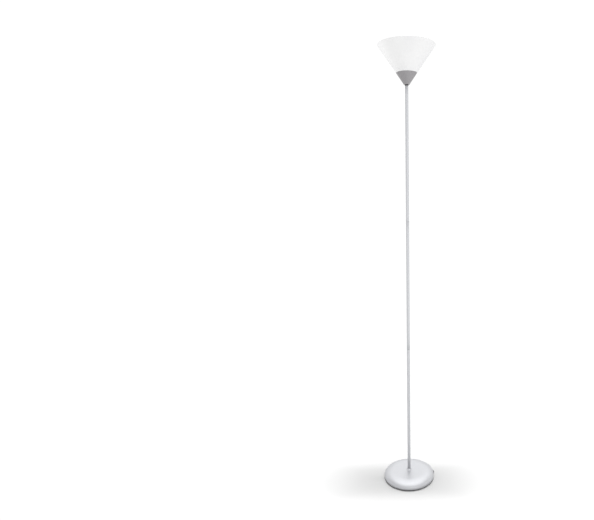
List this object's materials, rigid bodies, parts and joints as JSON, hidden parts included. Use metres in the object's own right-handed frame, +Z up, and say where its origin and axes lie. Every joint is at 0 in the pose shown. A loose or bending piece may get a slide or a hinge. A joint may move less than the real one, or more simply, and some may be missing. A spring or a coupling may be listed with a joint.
{
  "type": "floor lamp",
  "caption": "Torchiere floor lamp: weighted domed base, slim silver pole, grey conical cup and an opal cone shade open at the top, round a screw lampholder and bulb.",
  "frame": {"origin": "centre of the base on the floor, under the rubber feet", "axes": "+Z up along the pole; +X towards the side the cord entry is on, which is turned 10 degrees from +X towards +Y"},
  "size_m": [0.228, 0.228, 1.8],
  "materials": {
    "foot_rubber": "matt black rubber",
    "plate_paint": "black painted sheet steel",
    "zinc": "zinc plated",
    "cement": "cast cement, rough",
    "silver_lacquer": "silver metallic lacquer, satin",
    "thread_brass": "yellow passivated",
    "nylon": "natural nylon",
    "black_plastic": "black polyethylene",
    "black_sheath": "black PVC sheath",
    "brown_insulation": "brown insulation",
    "blue_insulation": "blue insulation",
    "grey_lacquer": "grey satin metallic lacquer",
    "white_thermoset": "white thermoset",
    "steatite": "unglazed steatite",
    "bright_brass": "plain brass",
    "opal_plastic": "opal white polypropylene, satin",
    "solder": "tin solder",
    "black_glass": "black glass",
    "cap_aluminium": "rolled aluminium",
    "opal_glass": "opal glass, satin",
    "clear_glass": "clear glass",
    "filament_wire": "nickel and tungsten wire"
  },
  "bodies": {
    "lamp_stand": {"rubber_feet": "foot_rubber", "base_plate": "plate_paint", "plate_screws": "zinc", "base_weight": "cement", "base_cover": "silver_lacquer", "base_nut": "thread_brass", "base_washer": "zinc", "base_stud": "thread_brass", "pole_collar": "silver_lacquer", "cord_gland": "foot_rubber", "cord_clamp_saddle": "nylon", "cord_clamp_bar": "nylon", "cord_clamp_screws": "zinc", "lower_tube": "silver_lacquer", "middle_tube": "silver_lacquer", "upper_tube": "silver_lacquer", "lower_tube_foot_bush": "thread_brass", "lower_tube_top_bush": "thread_brass", "middle_tube_foot_bush": "thread_brass", "middle_tube_top_bush": "thread_brass", "upper_tube_foot_bush": "thread_brass", "upper_tube_top_bush": "thread_brass", "lower_joint_stud": "thread_brass", "upper_joint_stud": "thread_brass", "pole_sleeve": "black_plastic", "inner_flex": "black_sheath", "live_wire": "brown_insulation", "neutral_wire": "blue_insulation", "cup": "grey_lacquer", "nipple": "thread_brass", "lock_washer": "zinc", "lock_nut": "thread_brass", "holder_dome": "white_thermoset", "holder_skirt": "white_thermoset", "holder_insert": "steatite", "screw_shell": "bright_brass", "centre_contact": "bright_brass", "shell_strap": "bright_brass", "terminal_blocks": "bright_brass", "terminal_screws": "zinc"},
    "shade": {"shade": "opal_plastic"},
    "shade_ring": {"shade_ring": "white_thermoset"},
    "bulb_carrier": {"bulb_contact": "solder"},
    "bulb": {"bulb_insulator": "black_glass", "bulb_cap": "cap_aluminium", "bulb_globe": "opal_glass", "bulb_stem": "clear_glass", "bulb_filament": "filament_wire"}
  },
  "joints": [
    {"name": "bulb_lift", "type": "slide", "parent": "lamp_stand", "child": "bulb_carrier", "axis": [0, 0, 1], "range_m": [0, 0.02177]},
    {"name": "bulb_turn", "type": "hinge", "parent": "bulb_carrier", "child": "bulb", "pos_m": [0, 0, 1.73], "axis": [0, 0, 1], "range_deg": [0, 2160]},
    {"name": "shade_lift", "type": "slide", "parent": "lamp_stand", "child": "shade", "axis": [0, 0, 1], "range_m": [0, 0.01125]},
    {"name": "ring_turn", "type": "hinge", "parent": "shade", "child": "shade_ring", "pos_m": [0, 0, 1.7], "axis": [0, 0, 1], "range_deg": [0, 1620]}
  ],
  "couplings": [
    {"joint": "bulb_turn", "follows": "bulb_lift", "rad_per_m": 1731.4},
    {"joint": "ring_turn", "follows": "shade_lift", "rad_per_m": 2513.3}
  ]
}
